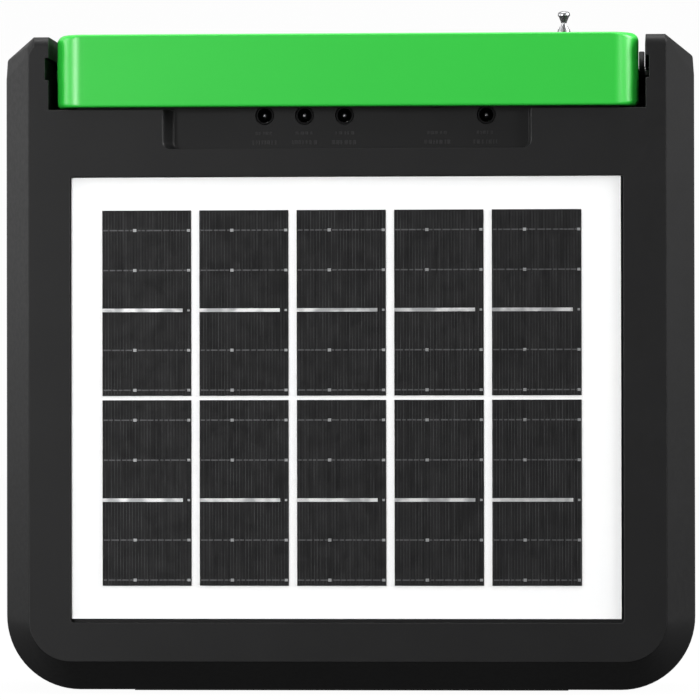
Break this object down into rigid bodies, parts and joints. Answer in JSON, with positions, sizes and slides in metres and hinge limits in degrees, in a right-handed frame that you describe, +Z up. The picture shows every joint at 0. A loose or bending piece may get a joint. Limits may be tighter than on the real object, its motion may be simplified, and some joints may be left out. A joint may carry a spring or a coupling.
{
  "type": "fence energizer",
  "caption": "Portable solar fence energizer: square black housing with a solar panel on its face, fold-down green bail handle, telescopic aerial, and rear fence and earth terminals.",
  "frame": {"origin": "bottom centre of the bounding box, at the underside of the rubber feet", "axes": "+Z up, -Y out of the solar panel, +Y towards the terminals, +X to the viewer's right when facing the panel"},
  "size_m": [0.3166, 0.112, 0.3167],
  "materials": {
    "case_plastic": "moulded, fine texture",
    "seal_rubber": "matt",
    "handle_plastic": "satin moulded",
    "grip_rubber": "matt, ribbed",
    "nylon": "natural moulded",
    "backsheet": "smooth laminate",
    "silicon": "printed silicon with silver fingers",
    "cover_film": "clear laminate film",
    "chrome": "polished",
    "steel": "zinc plated",
    "laminations": "varnished laminations",
    "brass": "machined",
    "circuit_board": "green solder mask",
    "copper": "enamelled winding",
    "battery_case": "moulded",
    "capacitor_sleeve": "shrink sleeve",
    "red_plastic": "moulded",
    "black_plastic": "moulded",
    "lens": "diffusing"
  },
  "bodies": {
    "case": {"front_shell": "case_plastic", "rear_shell": "case_plastic", "shell_seal": "seal_rubber", "foot_front": "seal_rubber", "foot_rear": "seal_rubber", "panel_backsheet": "backsheet", "panel_cover": "cover_film", "panel_junction_box": "black_plastic", "handle_washer_left": "nylon", "handle_washer_right": "nylon", "handle_pivot_left": "steel", "handle_pivot_right": "steel", "aerial_socket": "chrome", "jack_board": "circuit_board", "output_jack_1": "black_plastic", "output_jack_2": "black_plastic", "output_jack_3": "black_plastic", "charge_jack": "black_plastic", "button_switch": "black_plastic", "battery": "battery_case", "battery_strap": "steel", "main_board": "circuit_board", "transformer_core": "laminations", "transformer_coil": "copper", "storage_capacitor": "capacitor_sleeve", "switching_heat_sink": "steel", "battery_lead_positive": "red_plastic", "battery_lead_negative": "black_plastic", "fence_stud": "brass", "earth_stud": "brass", "selector_switch": "black_plastic", "indicator_lens": "lens", "case_screw_1": "steel", "case_screw_2": "steel", "case_screw_3": "steel", "case_screw_4": "steel", "solar_cell_1": "silicon", "solar_cell_2": "silicon", "solar_cell_3": "silicon", "solar_cell_4": "silicon", "solar_cell_5": "silicon", "solar_cell_6": "silicon", "solar_cell_7": "silicon", "solar_cell_8": "silicon", "solar_cell_9": "silicon", "solar_cell_10": "silicon"},
    "handle": {"handle_bail": "handle_plastic", "handle_grip_pad": "grip_rubber"},
    "aerial_turret": {"aerial_swivel": "chrome"},
    "aerial_mast": {"aerial_tube_outer": "chrome"},
    "aerial_middle": {"aerial_tube_middle": "chrome"},
    "aerial_inner": {"aerial_tube_inner": "chrome"},
    "aerial_tip": {"aerial_tip_rod": "chrome"},
    "power_button": {"power_button": "black_plastic"},
    "fence_clamp": {"fence_washer": "steel"},
    "fence_knob": {"fence_knob": "red_plastic"},
    "earth_clamp": {"earth_washer": "steel"},
    "earth_knob": {"earth_knob": "black_plastic"},
    "selector": {"selector_knob": "handle_plastic"}
  },
  "joints": [
    {"name": "handle_swing", "type": "hinge", "parent": "case", "child": "handle", "pos_m": [0, -0.004, 0.285], "axis": [-1, 0, 0], "range_deg": [0, 90]},
    {"name": "aerial_turn", "type": "hinge", "parent": "case", "child": "aerial_turret", "pos_m": [0.098, 0.0345, 0.19], "axis": [0, 0, 1], "range_deg": [-90, 90]},
    {"name": "aerial_tilt", "type": "hinge", "parent": "aerial_turret", "child": "aerial_mast", "pos_m": [0.098, 0.0345, 0.1965], "axis": [-1, 0, 0], "range_deg": [0, 90]},
    {"name": "aerial_slide_middle", "type": "slide", "parent": "aerial_mast", "child": "aerial_middle", "axis": [0, 0, 1], "range_m": [0, 0.09]},
    {"name": "aerial_slide_inner", "type": "slide", "parent": "aerial_middle", "child": "aerial_inner", "axis": [0, 0, 1], "range_m": [0, 0.09]},
    {"name": "aerial_slide_tip", "type": "slide", "parent": "aerial_inner", "child": "aerial_tip", "axis": [0, 0, 1], "range_m": [0, 0.09]},
    {"name": "power_button_press", "type": "slide", "parent": "case", "child": "power_button", "axis": [0, 1, 0], "range_m": [0, 0.0008], "stiffness_N_per_m": 2000},
    {"name": "fence_clamp_travel", "type": "slide", "parent": "case", "child": "fence_clamp", "axis": [0, 1, 0], "range_m": [0, 0.003]},
    {"name": "fence_knob_turn", "type": "hinge", "parent": "fence_clamp", "child": "fence_knob", "pos_m": [0.045, 0.05, 0.058], "axis": [0, 1, 0], "range_deg": [0, 1080]},
    {"name": "earth_clamp_travel", "type": "slide", "parent": "case", "child": "earth_clamp", "axis": [0, 1, 0], "range_m": [0, 0.003]},
    {"name": "earth_knob_turn", "type": "hinge", "parent": "earth_clamp", "child": "earth_knob", "pos_m": [-0.045, 0.05, 0.058], "axis": [0, 1, 0], "range_deg": [0, 1080]},
    {"name": "selector_turn", "type": "hinge", "parent": "case", "child": "selector", "pos_m": [-0.038, 0.048, 0.138], "axis": [0, -1, 0], "range_deg": [0, 120]}
  ],
  "couplings": [
    {"joint": "fence_knob_turn", "follows": "fence_clamp_travel", "rad_per_m": 6283.2},
    {"joint": "earth_knob_turn", "follows": "earth_clamp_travel", "rad_per_m": 6283.2}
  ]
}
